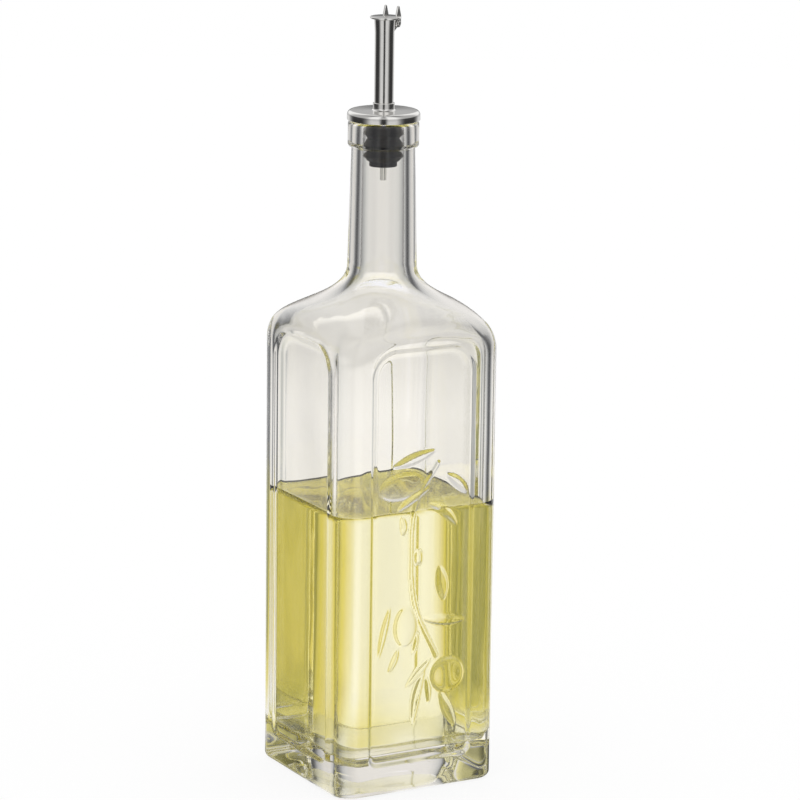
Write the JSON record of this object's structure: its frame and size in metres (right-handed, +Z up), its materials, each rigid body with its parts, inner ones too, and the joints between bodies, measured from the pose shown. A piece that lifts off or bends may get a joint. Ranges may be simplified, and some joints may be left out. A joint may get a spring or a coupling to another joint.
{
  "type": "glass oil bottle",
  "caption": "Tall square clear-glass oil bottle with arched panels, a raised olive sprig, part-filled with oil, and a ribbed pull-out pourer with a hinged flap lid.",
  "frame": {"origin": "middle of the base, on the surface that the bottle stands on", "axes": "+Z up along the bottle and the pouring tube; the panel with the sprig faces -Y"},
  "size_m": [0.08, 0.08, 0.3449],
  "materials": {
    "clear_glass": "gloss",
    "oil": "gloss",
    "black_rubber": "matte",
    "polished_steel": "polished"
  },
  "bodies": {
    "bottle": {"bottle": "clear_glass", "oil": "oil"},
    "pourer": {"stopper": "black_rubber", "cover_disc": "polished_steel", "pour_tube": "polished_steel", "air_tube": "polished_steel", "hinge_lug": "polished_steel", "hinge_pin": "polished_steel"},
    "flap": {"flap_lid": "polished_steel"}
  },
  "joints": [
    {"name": "pourer_pull", "type": "slide", "parent": "bottle", "child": "pourer", "axis": [0, 0, 1], "range_m": [0, 0.055]},
    {"name": "flap_hinge", "type": "hinge", "parent": "pourer", "child": "flap", "pos_m": [0.00511, 0.00295, 0.3374], "axis": [-0.5, 0.866, 0], "range_deg": [0, 100]}
  ]
}
